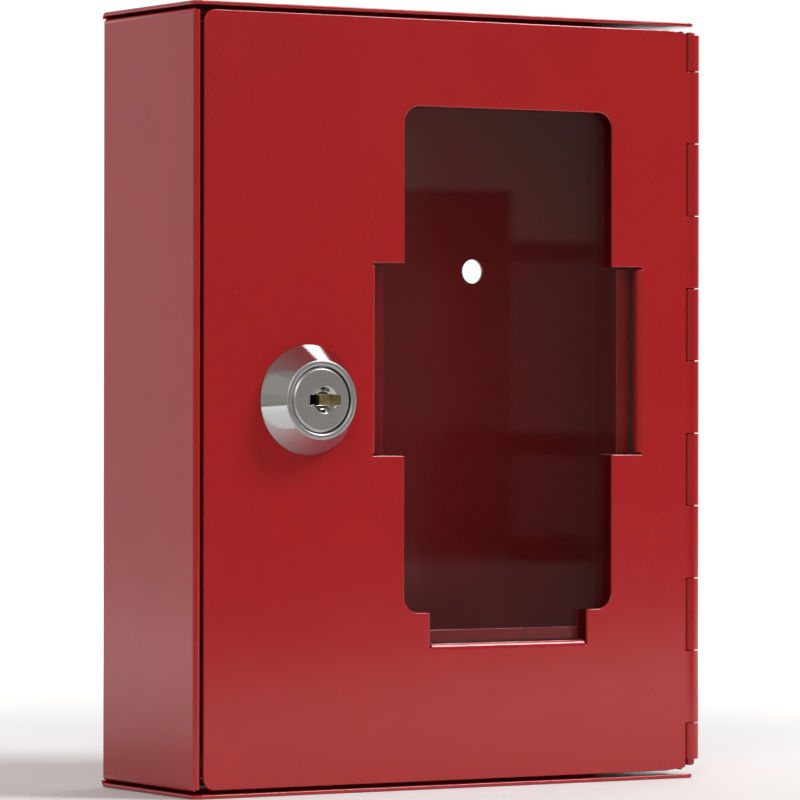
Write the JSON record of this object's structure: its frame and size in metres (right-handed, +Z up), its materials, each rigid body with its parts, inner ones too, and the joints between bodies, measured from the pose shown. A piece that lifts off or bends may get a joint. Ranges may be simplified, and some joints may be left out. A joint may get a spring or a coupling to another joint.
{
  "type": "emergency key box",
  "caption": "Small red steel wall box for an emergency key, with a hinged door, a break-glass pane in folded channels and a round cam lock with a conical head.",
  "frame": {"origin": "middle of the bottom wall's outer face, half-way across the side walls and half-way from the front edges to the back face", "axes": "+Z up along the height, +X to the right seen from the front (hinge side), +Y towards the wall; the door faces -Y"},
  "size_m": [0.1226, 0.0457, 0.16],
  "materials": {
    "red_paint": "satin powder coat with a fine orange-peel texture",
    "glass": "clear float glass with plain cut edges",
    "chrome": "polished chrome plate",
    "satin_nickel": "fine satin nickel",
    "zinc_steel": "bright zinc plate",
    "clip_steel": "oiled spring steel",
    "brass": "punched brass",
    "spring_bronze": "drawn bronze wire"
  },
  "bodies": {
    "box": {"body_shell": "red_paint", "hinge_pin": "red_paint", "strike_bracket": "red_paint", "key_hook": "zinc_steel"},
    "door": {"door_panel": "red_paint", "lock_housing": "chrome", "lock_washer": "zinc_steel", "lock_nut": "zinc_steel"},
    "pane": {"glass_pane": "glass"},
    "plug": {"lock_plug": "satin_nickel", "wafer_1": "brass", "wafer_2": "brass", "wafer_3": "brass", "wafer_4": "brass", "wafer_5": "brass", "wafer_spring_1": "spring_bronze", "wafer_spring_2": "spring_bronze", "wafer_spring_3": "spring_bronze", "wafer_spring_4": "spring_bronze", "wafer_spring_5": "spring_bronze", "plug_clip": "clip_steel", "turn_stop": "zinc_steel", "cam": "zinc_steel", "cam_washer": "zinc_steel", "cam_screw": "zinc_steel"}
  },
  "joints": [
    {"name": "door_hinge", "type": "hinge", "parent": "box", "child": "door", "pos_m": [0.0602, -0.01805, 0.08], "axis": [0, 0, 1], "range_deg": [0, 195]},
    {"name": "lock_turn", "type": "hinge", "parent": "door", "child": "plug", "pos_m": [-0.03425, -0.02, 0.08], "axis": [0, 1, 0], "range_deg": [0, 90]},
    {"name": "pane_lift", "type": "slide", "parent": "door", "child": "pane", "axis": [0, 0, 1], "range_m": [0, 0.01]}
  ]
}
